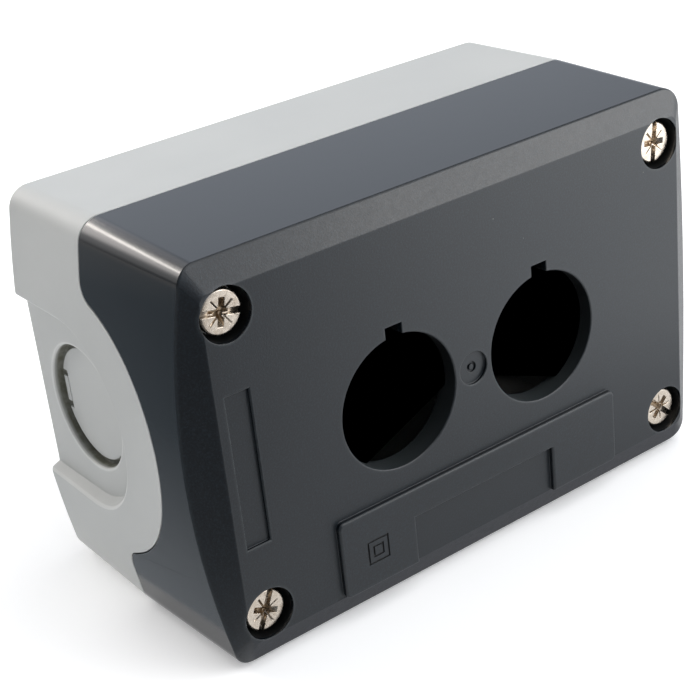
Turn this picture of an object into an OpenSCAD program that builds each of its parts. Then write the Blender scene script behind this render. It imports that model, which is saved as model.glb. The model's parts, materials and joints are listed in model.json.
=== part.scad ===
// Two-hole pushbutton control station, empty: rear base, front cover, seal and captive screws.
// X runs along the long side, the front faces -Y, +Y points to the wall, +Z is up.
// The origin is the centre of the flat back face. Every size is in millimetres.

/* [Body] */
// Overall length, across the crowns of the bowed ends
body_length = 106; // [100:1:160]
// Overall width of the long-side faces, at the parting line
body_width = 68; // [66:1:90]
// Depth from the back face to the flat front face
body_depth = 51.5; // [48:0.5:75]
// Depth of the front cover along the long sides
cover_depth = 28; // [24:0.5:36]
// Radius that the bowed ends follow
end_bow_radius = 174; // [120:2:400]
// Radius of the long corner edges at the parting line
corner_radius = 4.2; // [3:0.1:6]
// Thickness of the side walls
wall = 2.5; // [2:0.1:3.2]
// How much the cover's sides lean in at the front face
cover_draft = 0.75; // [0.2:0.05:1.5]
// How much the base's sides lean in at the back face
base_draft = 0.45; // [0.2:0.05:1.2]
// Chamfer round the back face
back_chamfer = 0.4; // [0.2:0.05:0.8]

/* [Front face] */
// Thickness of the front plate
front_plate = 2.6; // [2:0.1:3.5]
// Distance from the crown of an end to the flat of the face
end_bevel_width = 5.6; // [4:0.1:7]
// Depth of the end bevels at the crown
end_bevel_depth = 3.2; // [1.5:0.1:4]
// Distance from a long side to the flat of the face
side_bevel_width = 5; // [3.5:0.1:6]
// Depth of the long-side bevels
side_bevel_depth = 2; // [1:0.1:3]
// Corner radius of the flat of the face
flat_corner_radius = 1.5; // [0.8:0.1:3]
// Pitch of the two button holes
hole_pitch = 30; // [28:0.5:40]
// Diameter of a button hole
hole_diameter = 22.3; // [18:0.1:27]
// Width of the locating notch
notch_width = 3.2; // [2.5:0.1:4]
// How far the notch reaches past the edge of the hole
notch_depth = 1.8; // [1:0.1:2.4]
// Depth of a button hole through plate and collar
hole_wall_depth = 4; // [3:0.1:6]
// Width of the collar round a button hole
collar_width = 2.4; // [1.5:0.1:2.8]

/* [Label places] */
// Length of the raised panel
panel_length = 59.6; // [50:0.2:72]
// Width of the raised panel
panel_width = 13.6; // [11:0.1:16.4]
// Height of the raised panel above the face
panel_height = 1; // [0.5:0.1:2]
// Corner radius of the raised panel
panel_corner_radius = 1; // [0.5:0.1:2]
// Length of the open window in the panel
window_length = 30; // [20:0.5:40]
// Width of the open window in the panel
window_width = 8.4; // [5:0.1:10.2]
// Length of the side label recess
label_length = 25.5; // [18:0.5:31]
// Width of the side label recess
label_width = 4.2; // [3:0.1:5]
// Distance from the end of the flat to the side label recess
label_inset = 1.7; // [1:0.1:2.5]
// Depth of the side label recess and of the mould gate mark
label_depth = 0.6; // [0.3:0.1:1]
// Diameter of the mould gate mark between the holes
gate_diameter = 5.6; // [3:0.1:6]
// Diameter of the ring at the middle of the gate mark
gate_ring_diameter = 1.8; // [1.2:0.1:2.4]
// Width and depth of that ring
gate_ring_width = 0.4; // [0.2:0.05:0.5]

/* [Parting line] */
// Radius of the ear that rises from the base at each end
ear_radius = 23.3; // [19.4:0.1:25]
// Depth of the ear's centre behind the front face
ear_centre_depth = 34.1; // [32:0.1:38]
// Radius of the curve between the ear and the straight parting line
ear_blend_radius = 4; // [3:0.1:6]
// Gap along the parting line
seam_gap = 0.2; // [0.1:0.05:0.4]
// Thickness of the cover's rim, which holds the seal
rim_thickness = 3.6; // [3.4:0.1:4.3]
// Thickness of the rim in front of the seal groove
rim_floor = 1; // [0.8:0.1:1.6]
// Distance from the outer surface to the seal groove
groove_inset = 1.2; // [1:0.1:1.4]
// Width of the seal groove
groove_width = 1.6; // [1.3:0.1:1.95]
// Depth of the seal groove
groove_depth = 1.7; // [1.4:0.1:2.2]
// Thickness of the seal in its groove
gasket_thickness = 1.2; // [0.8:0.1:1.5]

/* [Cable entry] */
// Depth of the cable entry's centre behind the front face
entry_centre_depth = 36.8; // [34:0.1:39]
// Depth of the gland seat behind the crown of the end
seat_depth = 3.1; // [2.4:0.1:3.8]
// Half width of the gland seat at its floor
seat_radius = 15.4; // [13:0.1:16]
// How much the seat's wall leans out per millimetre of depth
seat_lean = 0.4; // [0.1:0.05:0.6]
// Radius of the gland seat's rim
seat_lip_radius = 0.9; // [0.3:0.1:1.2]
// Thickness of the end wall behind the gland seat
seat_wall = 2.9; // [2.7:0.1:3.5]
// Diameter of the knock-out at its rim
knockout_diameter = 21.2; // [17.5:0.1:22]
// Width of the groove round the knock-out's disc
break_groove_width = 0.95; // [0.6:0.05:1.3]
// Depth of that groove below the gland seat
break_groove_depth = 2.1; // [1.8:0.1:2.4]
// Depth of the disc below the gland seat
disc_depth = 1.35; // [0.8:0.05:1.6]
// Width of the prying notch in the disc
pry_width = 6.8; // [4:0.1:8.2]
// Reach of the prying notch in from the edge of the disc
pry_reach = 2; // [1.5:0.1:3]
// Width of the bar that the prying notch leaves
pry_bar_width = 1.1; // [0.8:0.1:1.4]

/* [Screws] */
// Distance of the screw axes from the bowed ends, straight out from each screw
screw_end_inset = 7.8; // [7.4:0.1:10]
// Distance of the screw axes from the long sides
screw_side_inset = 9; // [8.6:0.1:11]
// Depth of the screw heads below the front face
head_sink = 1.3; // [0.5:0.1:3]
// Diameter of a screw head
head_diameter = 7; // [5.8:0.1:8.4]
// Height of a screw head
head_height = 2.6; // [2.1:0.1:3.2]
// Width of the slot and of the arms of the cross
slot_width = 1; // [0.8:0.1:1.2]
// Depth of the slot
slot_depth = 0.9; // [0.6:0.1:1.2]
// Length of the arms of the cross, from tip to tip
cross_length = 3.8; // [3:0.1:4.4]
// Depth of the cross
cross_depth = 1.7; // [1.2:0.1:1.9]
// Nominal diameter of the screws
screw_diameter = 4; // [3.4:0.1:4.2]
// Length of a screw under its head
screw_length = 20; // [16:1:25]
// Chamfer on the rim of a head
head_chamfer = 0.35; // [0.2:0.05:0.5]
// Chamfer on the tip of a screw
tip_chamfer = 0.75; // [0.4:0.05:1]
// Thickness of the sealing washer
washer_thickness = 0.8; // [0.5:0.1:1]
// How far a washer reaches past its screw head
washer_rim = 0.3; // [0.1:0.1:0.6]
// Outer diameter of a threaded insert
insert_diameter = 5.6; // [5.2:0.1:6]
// Length of a threaded insert
insert_length = 8; // [5:0.5:10]
// Depth of the middle groove of an insert
insert_groove = 0.35; // [0.2:0.05:0.5]
// Depth below the face at which the cover's bosses end
boss_depth = 14; // [10:0.5:18]
// Wall of a boss round its counterbore
boss_wall = 1.8; // [1.4:0.1:2.2]
// Diameter of the base's screw posts
post_diameter = 8; // [7.6:0.1:9]
// Thickness of the webs between a post and the walls
web_thickness = 1.8; // [1.2:0.1:2.2]
// Distance from the straight parting line to the top of the webs
web_drop = 3; // [2:0.5:10]

/* [Base interior] */
// Thickness of the back wall
back_wall = 3; // [2.5:0.1:4]
// Spacing of the wall fixing holes along the length
fixing_spacing_x = 68; // [60:1:74]
// Spacing of the wall fixing holes across the width
fixing_spacing_z = 54; // [46:0.5:54]
// Diameter of the wall fixing holes
fixing_diameter = 4.3; // [3.5:0.1:5.2]
// Width of the boss round a fixing hole
fixing_boss_width = 2; // [1.5:0.1:2.2]
// Height of the boss round a fixing hole
fixing_boss_height = 1.4; // [1:0.1:2]
// Spacing of the two clip rails that hold a contact block, outside to outside
rail_spacing = 30; // [25:0.5:36]
// Height of the clip rails above the back wall
rail_height = 9; // [6:0.5:14]
// Length of a clip rail
rail_length = 14; // [10:0.5:17]
// Thickness of a clip rail
rail_thickness = 1.8; // [1.4:0.1:2.2]
// How far the hook of a rail leans over its inner side
hook_reach = 0.8; // [0.5:0.1:1.2]
// Height of the hook of a rail
hook_height = 1; // [0.8:0.1:1.6]
// Foot of the gussets that hold a rail up, measured out from the rail
gusset_foot = 3; // [2:0.5:5]
// Height of the stops between which a contact block sits
stop_height = 2.2; // [1.4:0.1:4]
// Width of those stops
stop_width = 12; // [6:0.5:16]
// Thickness of the back wall's ribs, of the stops and of the gussets
rib_thickness = 1.2; // [0.8:0.1:1.8]
// Height of the back wall's ribs
rib_height = 1.6; // [1:0.1:2.4]

/* [Fits] */
// Gap all round between a washer and its counterbore
counterbore_clearance = 0.5; // [0.3:0.1:0.8]
// Radial gap between the nominal thread and a plain shank or a plain bore
thread_clearance = 0.05; // [0.02:0.01:0.05]
// Radial gap between a shank and its washer
washer_clearance = 0.15; // [0.1:0.05:0.3]
// Radial gap between a shank and its hole in the cover or below its insert
shank_clearance = 0.3; // [0.2:0.05:0.5]
// Radial gap between an insert and its hole
insert_clearance = 0.05; // [0.02:0.01:0.1]
// Depth of an insert below the top of its post
insert_sink = 0.2; // [0.1:0.1:1]
// Room for the tip of a screw past its end
tip_room = 2; // [1:0.5:4]
// Radial gap between a post and the cover's rim
post_clearance = 0.35; // [0.3:0.05:0.5]
// Gap between the end of a boss and the top of its post
post_gap = 0.3; // [0.2:0.05:0.5]
// Gap on each side of the seal in its groove
gasket_clearance = 0.05; // [0.02:0.01:0.1]
// Gap on each side of the base's tongue in the groove
tongue_clearance = 0.4; // [0.3:0.05:0.5]
// Gap between the tongue and the relaxed seal
seal_gap = 0.35; // [0.3:0.05:0.5]

/* [Hidden] */

// Side of each screw: left or right, bottom or top, and how far its head is turned
TOP_LEFT = [-1, 1, 11];
TOP_RIGHT = [1, 1, -84];
BOTTOM_LEFT = [-1, -1, -67];
BOTTOM_RIGHT = [1, -1, 42];
ALL_SCREWS = [TOP_LEFT, TOP_RIGHT, BOTTOM_LEFT, BOTTOM_RIGHT];

base_colour = "#c9cbc8";
cover_colour = "#4a5058";
rubber_colour = "#1c1c1e";
steel_colour = "#c8c2b8";
washer_colour = "#e8e6dc";
brass_colour = "#c9a24b";

// How far a cut runs past the surface that it opens
past = 1;
// How far a rib or boss runs into the wall that carries it
sunk = 0.2;
corner_steps = 10;
bow_steps = 14;
ear_steps = 24;
blend_steps = 8;
seat_steps = 36;
lip_steps = 4;
$fn = 64;

half_length = body_length / 2;
half_width = body_width / 2;
face_y = -body_depth;
flat_half_length = half_length - end_bevel_width;
flat_half_width = half_width - side_bevel_width;
inner_back = body_depth - back_wall;
screw_z = half_width - screw_side_inset;
// How far a bowed end has fallen back from its crown at the height of the screws
end_fall = end_bow_radius - sqrt(pow(end_bow_radius, 2) - pow(screw_z, 2));
screw_x = half_length - end_fall - screw_end_inset;
seat_x = half_length - seat_depth;
disc_radius = knockout_diameter / 2 - break_groove_width;
washer_radius = head_diameter / 2 + washer_rim;
counterbore_radius = washer_radius + counterbore_clearance;
counterbore_depth = head_sink + head_height + washer_thickness;
boss_radius = counterbore_radius + boss_wall;
shank_radius = screw_diameter / 2 - thread_clearance;
screw_tip = head_sink + head_height + screw_length;
post_radius = post_diameter / 2;
post_top = boss_depth + post_gap;
insert_radius = insert_diameter / 2;
insert_top = post_top + insert_sink;
groove_floor = seam_gap + groove_depth;
tongue_height = groove_floor - gasket_thickness - seal_gap;

// Depth below the front face, as a place along Y
function at_depth(d) = face_y + d;

// Points of an arc about c, leaving out the first when another arc ends there
function arc(c, r, a0, a1, steps, first = 0) =
    [for (i = [first : steps]) c + r * [cos(a0 + (a1 - a0) * i / steps), sin(a0 + (a1 - a0) * i / steps)]];

function mirror_x(p) = [for (i = [len(p) - 1 : -1 : 0]) [-p[i][0], p[i][1]]];
function mirror_y(p) = [for (i = [len(p) - 1 : -1 : 0]) [p[i][0], -p[i][1]]];

// Front view of the enclosure: straight long sides, bowed ends, round corners.
// An inset moves every face in by the same distance and keeps the centres of the corners.
function outline(inset) =
    let (smallest_radius = 0.5,
        hx = half_length - inset, hz = half_width - inset,
        rc = max(corner_radius - inset, smallest_radius),
        rb = end_bow_radius - inset,
        bow_x = hx - rb,
        cz = hz - rc,
        cx = bow_x + sqrt((rb - rc) * (rb - rc) - cz * cz),
        a = asin(cz / (rb - rc)),
        corner = arc([cx, cz], rc, a, 90, corner_steps),
        bow = arc([bow_x, 0], rb, -a, a, bow_steps, 1),
        right = concat(mirror_y(corner), bow, [for (i = [1 : len(corner) - 1]) corner[i]]))
    concat(right, mirror_x(right));

// Rectangle with round corners, with the same count of points on each corner
function round_rectangle(hx, hz, r) =
    let (corner = arc([hx - r, hz - r], r, 0, 90, corner_steps),
        right = concat(mirror_y(corner), corner))
    concat(right, mirror_x(right));

// Rings in the front view, each [depth, points], as 3D rings along Y
function front_rings(levels) = [for (l = levels) [for (p = l[1]) [p[0], at_depth(l[0]), p[1]]]];

// Solid through rings that all have the same count of points
module loft(rings) {
    n = len(rings[0]);
    last = len(rings) - 1;
    polyhedron(
        points = [for (r = rings) each r],
        faces = concat(
            [[for (i = [n - 1 : -1 : 0]) i]],
            [for (k = [0 : last - 1], i = [0 : n - 1])
                [k * n + i, k * n + (i + 1) % n, (k + 1) * n + (i + 1) % n, (k + 1) * n + i]],
            [[for (i = [0 : n - 1]) last * n + i]]));
}

// How much the sides lean in at a depth
function lean_in(depth) =
    let (ahead = cover_depth - depth,
        slope = ahead > 0 ? cover_draft / cover_depth : -base_draft / (body_depth - cover_depth))
    slope * ahead;

// Outline of the drafted outer form at a depth, moved in by an inset
function drafted(inset, depth) = outline(inset + lean_in(depth));

// Place along X of the bowed end at a depth and a height
function end_face(depth, z) =
    let (lean = lean_in(depth), r = end_bow_radius - lean)
    half_length - lean - r + sqrt(r * r - z * z);

// The drafted outer form, moved in by an inset and cut short or run on at either end
module form(inset, from, to) {
    loft(front_rings([for (d = [from, cover_depth, to]) [d, drafted(inset, d)]]));
}

// The same with the chamfer round the back face
module chamfered_form() {
    loft(front_rings([
        [0, drafted(0, 0)],
        [cover_depth, drafted(0, cover_depth)],
        [body_depth - back_chamfer, drafted(0, body_depth - back_chamfer)],
        [body_depth, drafted(back_chamfer, body_depth)]]));
}

// Prism along X of a side view in (Y, Z)
module along_x(from, to) {
    translate([from, 0, 0]) rotate([90, 0, 90]) linear_extrude(to - from) children();
}

// Prism along Y of a front view in (X, Z), between two depths
module along_y(from, to) {
    translate([0, at_depth(to), 0]) rotate([90, 0, 0]) linear_extrude(to - from) children();
}

// Round bar along Y between two depths
module bar_y(r, from, to) {
    translate([0, at_depth(from), 0]) rotate([-90, 0, 0]) cylinder(r = r, h = to - from);
}

// Turned piece about the Y axis, from a profile of [radius, distance behind a depth]
module turned_y(from, profile) {
    translate([0, at_depth(from), 0]) rotate([-90, 0, 0]) rotate_extrude() polygon(profile);
}

// Round bar along X
module bar_x(r, from, to) {
    translate([from, 0, 0]) rotate([0, 90, 0]) cylinder(r = r, h = to - from);
}

module both_ends() {
    children();
    mirror([1, 0, 0]) children();
}

module at_screw(s) {
    translate([s[0] * screw_x, 0, s[1] * screw_z]) children();
}

module at_all_screws() {
    for (s = ALL_SCREWS) at_screw(s) children();
}

module at_buttons() {
    for (x = [-1, 1]) translate([x * hole_pitch / 2, 0, 0]) children();
}

module at_fixings() {
    for (x = [-1, 1], z = [-1, 1])
        translate([x * fixing_spacing_x / 2, 0, z * fixing_spacing_z / 2]) children();
}

// Parting line in the side view, as [Y, Z] points from the bottom to the top.
// Forward moves the whole line that far into the cover, square to itself.
function seam_line(forward) =
    let (line_depth = cover_depth - forward,
        r = ear_radius + forward,
        rf = ear_blend_radius - forward,
        blend_depth = line_depth - rf,
        rise = ear_centre_depth - blend_depth,
        blend_z = sqrt((r + rf) * (r + rf) - rise * rise),
        a = atan2(blend_z, rise),
        crown = arc([ear_centre_depth, 0], r, 180 - a, 180, ear_steps),
        blend = arc([blend_depth, blend_z], rf, -a, 0, blend_steps),
        upper = concat([[line_depth, body_width]], [for (i = [len(blend) - 1 : -1 : 1]) blend[i]], crown),
        lower = [for (i = [len(upper) - 2 : -1 : 0]) [upper[i][0], -upper[i][1]]])
    [for (p = concat(upper, lower)) [at_depth(p[0]), p[1]]];

// Everything on the rear side of the parting line moved forward by some distance
module behind_seam(forward) {
    along_x(-body_length, body_length)
        polygon(concat(seam_line(forward), [[past, -body_width], [past, body_width]]));
}

// Everything in front of that line
module ahead_of_seam(forward) {
    front = 2 * face_y;
    along_x(-body_length, body_length)
        polygon(concat(seam_line(forward), [[front, -body_width], [front, body_width]]));
}

// Strip of the side walls that lies between two distances ahead of the parting line
module seam_strip(inset, width, from, to) {
    intersection() {
        difference() {
            form(inset, -past, inner_back);
            form(inset + width, -2 * past, body_depth);
        }
        ahead_of_seam(from);
        behind_seam(to);
    }
}

// Side view of the gland seat: a half round toward the front, open toward the back
function seat_outline(r) =
    let (front = arc([at_depth(entry_centre_depth), 0], r, 90, 270, seat_steps))
    concat(front, [[past, -r], [past, r]]);

// Ring of the seat's cut that follows the bowed end: some distance below its face, and moved out from
// the line in which the seat's leaning wall would meet the face
function seat_ring(below, out) =
    let (guess = seat_outline(seat_radius + seat_lean * seat_depth))
    [for (i = [0 : len(guess) - 1])
        let (x = end_face(guess[i][0] - face_y, guess[i][1]),
            p = seat_outline(seat_radius + seat_lean * (x - seat_x) + out)[i])
        [x - below, p[0], p[1]]];

// The rim of the seat is rounded between the leaning wall and the face
module gland_seat_cut() {
    steepness = sqrt(1 + seat_lean * seat_lean);
    arc_centre = seat_lip_radius * (steepness - seat_lean);
    sweep = 90 - atan(seat_lean);
    lip = [for (i = [0 : lip_steps]) let (a = sweep * i / lip_steps)
        seat_ring(seat_lip_radius * (1 - cos(a)), arc_centre - seat_lip_radius * sin(a))];
    outside = [for (p = lip[0]) [half_length + past, p[1], p[2]]];
    seat_floor = [for (p = seat_outline(seat_radius)) [seat_x, p[0], p[1]]];
    loft(concat([outside], lip, [seat_floor]));
}

// The disc stands in a ring groove that is nearly through, with a notch for prying it out
module knockout_cut() {
    floor_x = seat_x - break_groove_depth;
    centre_y = at_depth(entry_centre_depth);
    pry_y = centre_y + disc_radius - pry_reach;
    bar_gap = (pry_reach + break_groove_width - pry_bar_width) / 6;
    difference() {
        translate([0, centre_y, 0]) bar_x(knockout_diameter / 2, floor_x, seat_x + past);
        difference() {
            translate([0, centre_y, 0]) bar_x(disc_radius, floor_x - past, seat_x - disc_depth);
            translate([floor_x, pry_y, -pry_width / 2])
                cube([break_groove_depth, 2 * disc_radius, pry_width]);
        }
        translate([floor_x - past, pry_y + bar_gap, -pry_width / 2 + pry_bar_width])
            cube([break_groove_depth - disc_depth + past, pry_bar_width, pry_width - 2 * pry_bar_width]);
    }
}

// The end wall stands thicker behind the gland seat
module gland_seat_backing() {
    intersection() {
        along_x(seat_x - seat_wall, half_length) polygon(seat_outline(seat_radius + wall));
        form(wall / 2, 0, body_depth);
    }
}

// Two webs tie a post to the corner walls below the parting line
module post_webs(s) {
    near = post_radius - wall / 4;
    reach = max(screw_end_inset, screw_side_inset) - wall / 2;
    intersection() {
        at_screw(s) along_y(cover_depth + web_drop, body_depth - back_wall / 2) {
            translate([s[0] > 0 ? near : -reach, -web_thickness / 2]) square([reach - near, web_thickness]);
            translate([-web_thickness / 2, s[1] > 0 ? near : -reach]) square([web_thickness, reach - near]);
        }
        form(wall / 2, 0, body_depth);
    }
}

// Side view of a clip rail, hooked over at its top, with its foot sunk in the back wall
module rail_profile() {
    foot = rail_height + sunk;
    polygon([[foot, 0], [foot, rail_thickness], [0, rail_thickness], [-hook_height, rail_thickness / 2],
        [-hook_height, 0], [0, -hook_reach], [hook_height / 2, 0]]);
}

// A pair of hooked rails that a contact block snaps between, and the stops at its ends
module clip_rails() {
    top_y = at_depth(inner_back - rail_height);
    gusset_height = rail_height * 2 / 3;
    for (side = [0, 1]) mirror([0, 0, side]) translate([0, top_y, rail_spacing / 2 - rail_thickness]) {
        along_x(-rail_length / 2, rail_length / 2) rail_profile();
        for (x = [-1, 1]) translate([x * (rail_length / 2 - rib_thickness), 0, rail_thickness - sunk])
            along_x(-rib_thickness / 2, rib_thickness / 2) polygon([[rail_height - gusset_height, 0],
                [rail_height, gusset_foot], [rail_height + sunk, gusset_foot], [rail_height + sunk, 0]]);
    }
    for (x = [-1, 1]) translate([x * (rail_length / 2 + 1.5 * rib_thickness), 0, 0])
        along_y(inner_back - stop_height, inner_back + sunk)
            translate([-rib_thickness / 2, -stop_width / 2]) square([rib_thickness, stop_width]);
}

module back_wall_ribs() {
    long = 2 * (screw_x - post_radius + sunk);
    across = body_width - 2 * wall + 2 * sunk;
    along_y(inner_back - rib_height, inner_back + sunk) {
        for (z = [-1, 1])
            translate([-long / 2, z * screw_z - rib_thickness / 2]) square([long, rib_thickness]);
        translate([-rib_thickness / 2, -across / 2]) square([rib_thickness, across]);
    }
}

module rear_base() {
    insert_hole = insert_radius + insert_clearance;
    color(base_colour) difference() {
        union() {
            difference() {
                intersection() {
                    chamfered_form();
                    behind_seam(0);
                }
                form(wall, -past, inner_back);
            }
            seam_strip(groove_inset + tongue_clearance, groove_width - 2 * tongue_clearance,
                -past, tongue_height);
            both_ends() gland_seat_backing();
            for (s = ALL_SCREWS) post_webs(s);
            at_fixings() bar_y(fixing_diameter / 2 + fixing_boss_width, inner_back - fixing_boss_height,
                inner_back + sunk);
            at_buttons() clip_rails();
            back_wall_ribs();
            at_all_screws() bar_y(post_radius, post_top, inner_back + sunk);
        }
        both_ends() {
            gland_seat_cut();
            knockout_cut();
        }
        at_fixings() bar_y(fixing_diameter / 2, inner_back - fixing_boss_height - past, body_depth + past);
        at_all_screws() {
            bar_y(insert_hole, post_top - past, insert_top + insert_length);
            bar_y(shank_radius + shank_clearance, post_top, screw_tip + tip_room);
        }
    }
}

// The bevels fall straight from the flat of the face, so the bowed ends make them widest at mid height
module bevel_form() {
    run = 8;
    x_out = flat_half_length + run * (end_bevel_width - cover_draft) / end_bevel_depth;
    z_out = flat_half_width + run * (side_bevel_width - cover_draft) / side_bevel_depth;
    outer = round_rectangle(x_out, z_out, 4 * flat_corner_radius);
    loft(front_rings([
        [0, round_rectangle(flat_half_length, flat_half_width, flat_corner_radius)],
        [run, outer],
        [body_depth, outer]]));
}

module raised_panel() {
    along_y(-panel_height, front_plate / 2)
        translate([0, -flat_half_width + panel_width / 2])
            polygon(round_rectangle(panel_length / 2, panel_width / 2, panel_corner_radius));
}

module panel_window() {
    along_y(-panel_height - past, 0) translate([-window_length / 2, -flat_half_width - past])
        square([window_length, window_width + past]);
}

module label_recess() {
    along_y(-past, label_depth)
        translate([-flat_half_length + label_inset, -label_length / 2]) square([label_width, label_length]);
}

module button_hole() {
    r = hole_diameter / 2;
    bar_y(r, -past, hole_wall_depth + past);
    along_y(-past, hole_wall_depth + past)
        translate([-notch_width / 2, 0]) square([notch_width, r + notch_depth]);
}

module gate_mark() {
    r = gate_ring_diameter / 2;
    bar_y(gate_diameter / 2, -past, label_depth);
    difference() {
        bar_y(r, 0, label_depth + gate_ring_width);
        bar_y(r - gate_ring_width, -past, label_depth + past);
    }
}

module front_cover() {
    color(cover_colour) difference() {
        union() {
            difference() {
                intersection() {
                    form(0, 0, body_depth);
                    bevel_form();
                    ahead_of_seam(seam_gap);
                }
                intersection() {
                    form(wall, front_plate, body_depth + past);
                    ahead_of_seam(groove_floor + rim_floor);
                }
                form(rim_thickness, front_plate + past, body_depth + past);
                at_all_screws() bar_y(post_radius + post_clearance, boss_depth, body_depth);
            }
            raised_panel();
            at_buttons() bar_y(hole_diameter / 2 + collar_width, front_plate / 2, hole_wall_depth);
            at_all_screws() bar_y(boss_radius, front_plate - sunk, boss_depth);
        }
        seam_strip(groove_inset, groove_width, seam_gap - past, groove_floor);
        panel_window();
        label_recess();
        gate_mark();
        at_buttons() button_hole();
        at_all_screws() {
            bar_y(counterbore_radius, -panel_height - past, counterbore_depth);
            bar_y(shank_radius + shank_clearance, 0, boss_depth + past);
        }
    }
}

module cover_gasket() {
    color(rubber_colour) seam_strip(groove_inset + gasket_clearance, groove_width - 2 * gasket_clearance,
        groove_floor - gasket_thickness, groove_floor);
}

// Combination head: a full slot and a cross recess in a head with a chamfered rim
module cover_screw(s) {
    head_radius = head_diameter / 2;
    length = head_height + screw_length;
    top = at_depth(head_sink) - past;
    color(steel_colour) at_screw(s) rotate([0, s[2], 0]) difference() {
        turned_y(head_sink, [[0, 0], [head_radius - head_chamfer, 0], [head_radius, head_chamfer],
            [head_radius, head_height], [shank_radius, head_height], [shank_radius, length - tip_chamfer],
            [shank_radius - tip_chamfer, length], [0, length]]);
        translate([-head_diameter, top, -slot_width / 2])
            cube([2 * head_diameter, past + slot_depth, slot_width]);
        for (a = [0, 90]) rotate([0, a, 0]) translate([-cross_length / 2, top, -slot_width / 2])
            cube([cross_length, past + cross_depth, slot_width]);
    }
}

module screw_washer(s) {
    from = head_sink + head_height;
    to = from + washer_thickness;
    color(washer_colour) at_screw(s) difference() {
        bar_y(washer_radius, from, to);
        bar_y(shank_radius + washer_clearance, from - past, to + past);
    }
}

// Brass insert: two bands with a groove between them, seated on the step in its post
module thread_insert(s) {
    bore = screw_diameter / 2 + thread_clearance;
    band = insert_length * 3 / 8;
    waist = insert_radius - insert_groove;
    color(brass_colour) at_screw(s)
        turned_y(insert_top, [[bore, 0], [insert_radius, 0], [insert_radius, band],
            [waist, band + insert_groove], [waist, insert_length - band - insert_groove],
            [insert_radius, insert_length - band], [insert_radius, insert_length], [bore, insert_length]]);
}

rear_base();
front_cover();
cover_gasket();
cover_screw(TOP_LEFT);  // cover_screw_top_left
cover_screw(TOP_RIGHT);  // cover_screw_top_right
cover_screw(BOTTOM_LEFT);  // cover_screw_bottom_left
cover_screw(BOTTOM_RIGHT);  // cover_screw_bottom_right
screw_washer(TOP_LEFT);  // screw_washer_top_left
screw_washer(TOP_RIGHT);  // screw_washer_top_right
screw_washer(BOTTOM_LEFT);  // screw_washer_bottom_left
screw_washer(BOTTOM_RIGHT);  // screw_washer_bottom_right
thread_insert(TOP_LEFT);  // thread_insert_top_left
thread_insert(TOP_RIGHT);  // thread_insert_top_right
thread_insert(BOTTOM_LEFT);  // thread_insert_bottom_left
thread_insert(BOTTOM_RIGHT);  // thread_insert_bottom_right
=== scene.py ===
"""Looks of an empty two-hole pushbutton control station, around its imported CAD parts.

The scene is in metres, with +Z up and the front face to -Y. Shapes are worked out in millimetres, because
rounding and cutting are more exact there.
"""

import json
import math

import bmesh
import bpy
from mathutils import Matrix, Vector


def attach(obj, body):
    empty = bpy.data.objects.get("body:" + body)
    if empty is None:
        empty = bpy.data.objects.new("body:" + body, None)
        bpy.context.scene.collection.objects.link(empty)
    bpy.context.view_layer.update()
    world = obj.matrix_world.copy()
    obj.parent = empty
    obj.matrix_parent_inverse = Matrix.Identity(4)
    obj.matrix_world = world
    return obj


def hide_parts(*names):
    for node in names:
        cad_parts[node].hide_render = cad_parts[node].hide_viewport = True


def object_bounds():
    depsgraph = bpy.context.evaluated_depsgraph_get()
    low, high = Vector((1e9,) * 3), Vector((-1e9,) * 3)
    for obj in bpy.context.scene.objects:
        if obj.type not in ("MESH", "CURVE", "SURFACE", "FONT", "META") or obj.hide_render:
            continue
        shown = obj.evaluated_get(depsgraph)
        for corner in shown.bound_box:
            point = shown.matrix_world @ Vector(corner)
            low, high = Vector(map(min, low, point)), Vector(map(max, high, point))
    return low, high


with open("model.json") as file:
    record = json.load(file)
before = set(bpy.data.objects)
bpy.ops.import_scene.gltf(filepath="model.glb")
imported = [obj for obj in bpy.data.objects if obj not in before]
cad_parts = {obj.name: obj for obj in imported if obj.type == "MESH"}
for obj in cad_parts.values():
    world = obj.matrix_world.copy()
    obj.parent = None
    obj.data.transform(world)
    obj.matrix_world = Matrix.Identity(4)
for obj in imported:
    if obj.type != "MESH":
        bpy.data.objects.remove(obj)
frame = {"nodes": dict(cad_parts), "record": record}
cad_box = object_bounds()

MM = 0.001
IMAGE_WIDTH = 700

# Camera, fitted to both button-hole rims, the straight edges and the outline in the photograph
CAMERA_PLACE = (-147.785 * MM, -230.696 * MM, 116.841 * MM)
CAMERA_RIGHT = (0.7845, -0.6122, -0.0986)
CAMERA_DOWN = (-0.3390, -0.2903, -0.8949)
FOCAL_PIXELS = 1635.19
CENTRE_PIXEL = (361.889, 352.725)
SENSOR_MM = 36

# The studio's wall and ceiling, by the direction that one looks in. The ceiling takes over from the wall in a
# span of Z. The wall dims to the left and to the right, each in a span of X, from one share to another.
WALL_TONE = (0.86, 0.92, 1.03)
CEILING_TONE = (0.10, 0.11, 0.13)
CEILING_SPAN = (0.48, 0.55)
WALL_DIMMING = ((-0.6, 0.2, 0.08, 1), (0.35, 0.85, 1, 0.7))

# Soft glows on the wall and ceiling: direction, core and reach in degrees, and colour with strength
GLOWS = (((0.72, -0.62, 0.22), 8, 34, (3.4, 3.4, 3.4)),
         ((-0.38, 0.82, 0.42), 3, 32, (1.5, 1.48, 1.45)),
         ((-0.283, 0.837, 0.466), 1, 18, (4.2, 3.97, 3.8)),
         ((0.12, 0.837, 0.53), 2, 15, (1.3, 1.3, 1.35)),
         ((0.38, 0.78, 0.50), 8, 30, (0.14, 0.16, 0.18)))

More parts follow.
